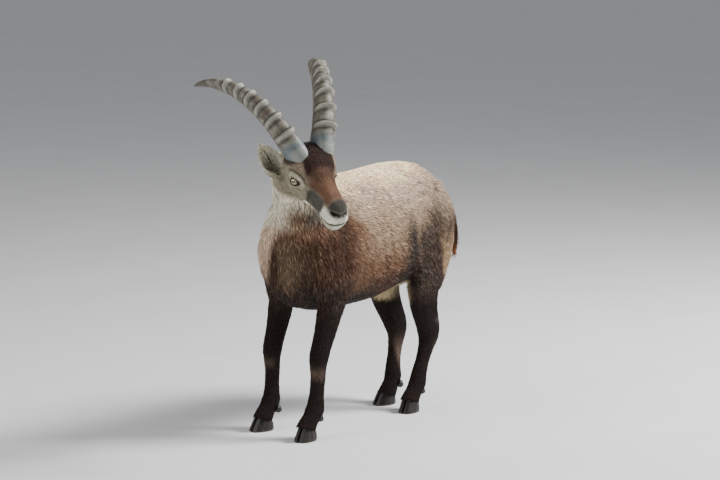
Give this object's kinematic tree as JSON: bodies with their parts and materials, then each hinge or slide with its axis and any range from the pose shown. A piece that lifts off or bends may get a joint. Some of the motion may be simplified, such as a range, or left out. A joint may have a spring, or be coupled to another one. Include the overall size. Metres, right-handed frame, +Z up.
{
  "type": "alpine ibex",
  "caption": "Young male alpine ibex standing with its head turned to its left, ridged horns curved back over the neck.",
  "frame": {"origin": "on the floor under the middle of the animal's box", "axes": "the animal faces -Y, its left side is +X, +Z is up"},
  "size_m": [0.5566, 1.086, 1.1618],
  "materials": {
    "flank_hair": "short dense coat",
    "dark_hair": "short dense coat",
    "pale_hair": "short dense coat",
    "face_hair": "very short coat",
    "horn": "worn horn with growth rings",
    "hoof": "worn horn",
    "eye": "wet"
  },
  "bodies": {
    "root": {"horn_left": "horn", "ear_left": "pale_hair", "eye_left": "eye", "horn_right": "horn", "ear_right": "pale_hair", "eye_right": "eye", "tail": "dark_hair", "head": "face_hair", "neck": "pale_hair", "chest": "flank_hair", "barrel": "flank_hair", "hindquarters": "flank_hair", "forearm_left": "dark_hair", "fore_cannon_left": "dark_hair", "fore_foot_left": "dark_hair", "claw_fore_left_outer": "hoof", "dewclaw_fore_left_outer": "hoof", "claw_fore_left_inner": "hoof", "dewclaw_fore_left_inner": "hoof", "forearm_right": "dark_hair", "fore_cannon_right": "dark_hair", "fore_foot_right": "dark_hair", "claw_fore_right_outer": "hoof", "dewclaw_fore_right_outer": "hoof", "claw_fore_right_inner": "hoof", "dewclaw_fore_right_inner": "hoof", "gaskin_left": "dark_hair", "hind_cannon_left": "dark_hair", "hind_foot_left": "dark_hair", "claw_hind_left_outer": "hoof", "dewclaw_hind_left_outer": "hoof", "claw_hind_left_inner": "hoof", "dewclaw_hind_left_inner": "hoof", "gaskin_right": "dark_hair", "hind_cannon_right": "dark_hair", "hind_foot_right": "dark_hair", "claw_hind_right_outer": "hoof", "dewclaw_hind_right_outer": "hoof", "claw_hind_right_inner": "hoof", "dewclaw_hind_right_inner": "hoof"}
  },
  "joints": []
}
